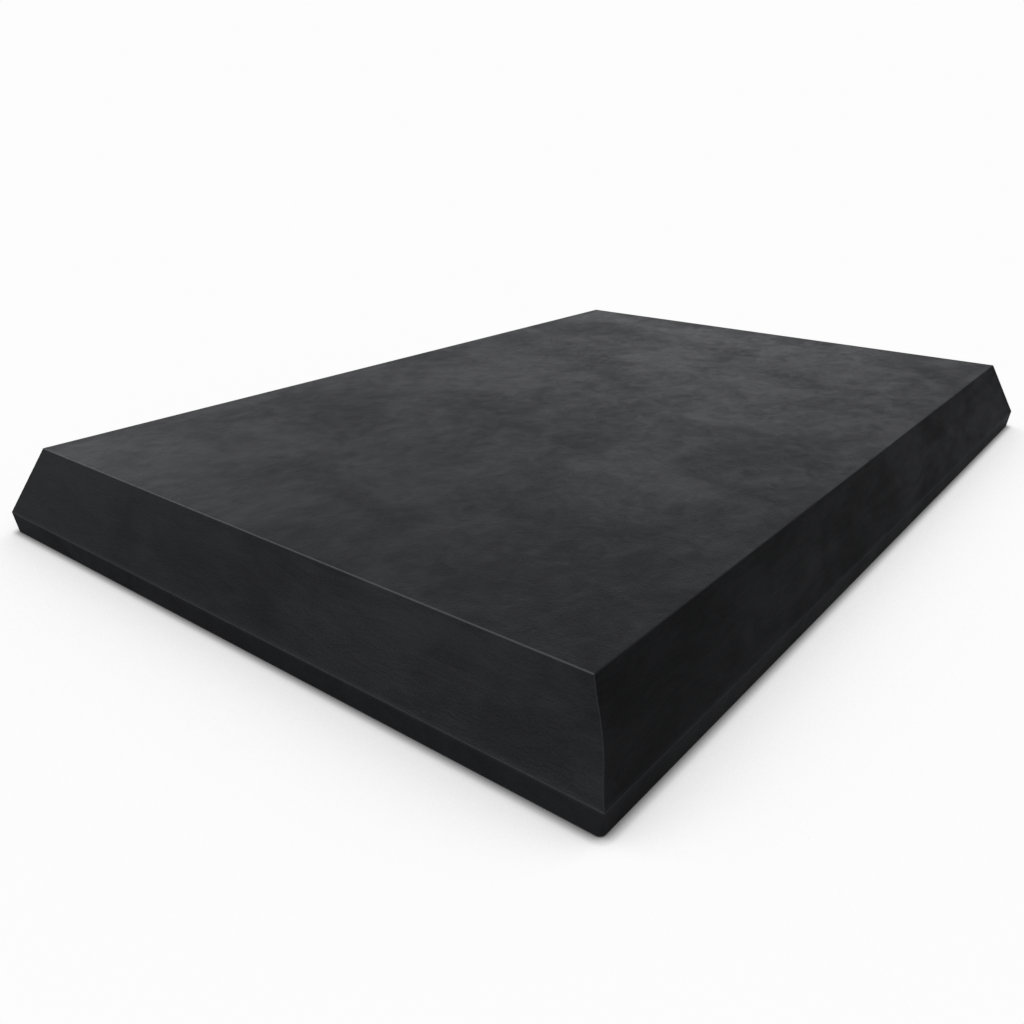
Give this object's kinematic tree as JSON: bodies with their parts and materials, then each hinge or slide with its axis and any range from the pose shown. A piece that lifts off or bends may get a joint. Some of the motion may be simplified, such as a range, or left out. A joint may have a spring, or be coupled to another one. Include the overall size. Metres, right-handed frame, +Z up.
{
  "type": "balance pad",
  "caption": "Rectangular foam balance pad in a dark sewn leatherette cover, with bevelled sides above a low band, a grip underside and a zip along the rear slope.",
  "frame": {"origin": "middle of the underside, on the floor", "axes": "+X along the pad's length, +Y towards the long side with the zip, +Z up to the standing surface"},
  "size_m": [0.6, 0.405, 0.05],
  "materials": {
    "leatherette": "matte, finely wrinkled",
    "grip_fabric": "woven, with raised grip dots",
    "firm_foam": "closed-cell foam, cut faces",
    "soft_foam": "open-cell foam, cut faces",
    "zip_tape": "woven polyester tape",
    "zip_coil": "extruded nylon coil",
    "zip_metal": "black enamel on die-cast zinc"
  },
  "bodies": {
    "pad": {"cover_top_panel": "leatherette", "front_bevel_panel": "leatherette", "left_bevel_panel": "leatherette", "right_bevel_panel": "leatherette", "rear_bevel_lower_strip": "leatherette", "rear_bevel_upper_strip": "leatherette", "front_band": "leatherette", "rear_band": "leatherette", "left_band": "leatherette", "right_band": "leatherette", "base_panel": "grip_fabric", "foam_base_layer": "firm_foam", "foam_top_layer": "soft_foam", "zip_tape_upper": "zip_tape", "zip_tape_lower": "zip_tape", "zip_coil_upper": "zip_coil", "zip_coil_lower": "zip_coil", "zip_top_stops": "zip_metal", "zip_bottom_stop": "zip_metal", "zip_end_tab_left": "leatherette", "zip_end_tab_right": "leatherette"},
    "slider": {"zip_slider": "zip_metal"},
    "pull": {"zip_pull_tab": "zip_metal"}
  },
  "joints": [
    {"name": "zip_slide", "type": "slide", "parent": "pad", "child": "slider", "axis": [1, 0, 0], "range_m": [0, 0.526]},
    {"name": "pull_swing", "type": "hinge", "parent": "slider", "child": "pull", "pos_m": [-0.26315, 0.19825, 0.02982], "axis": [0, -0.4084, 0.9128], "range_deg": [0, 175]}
  ]
}
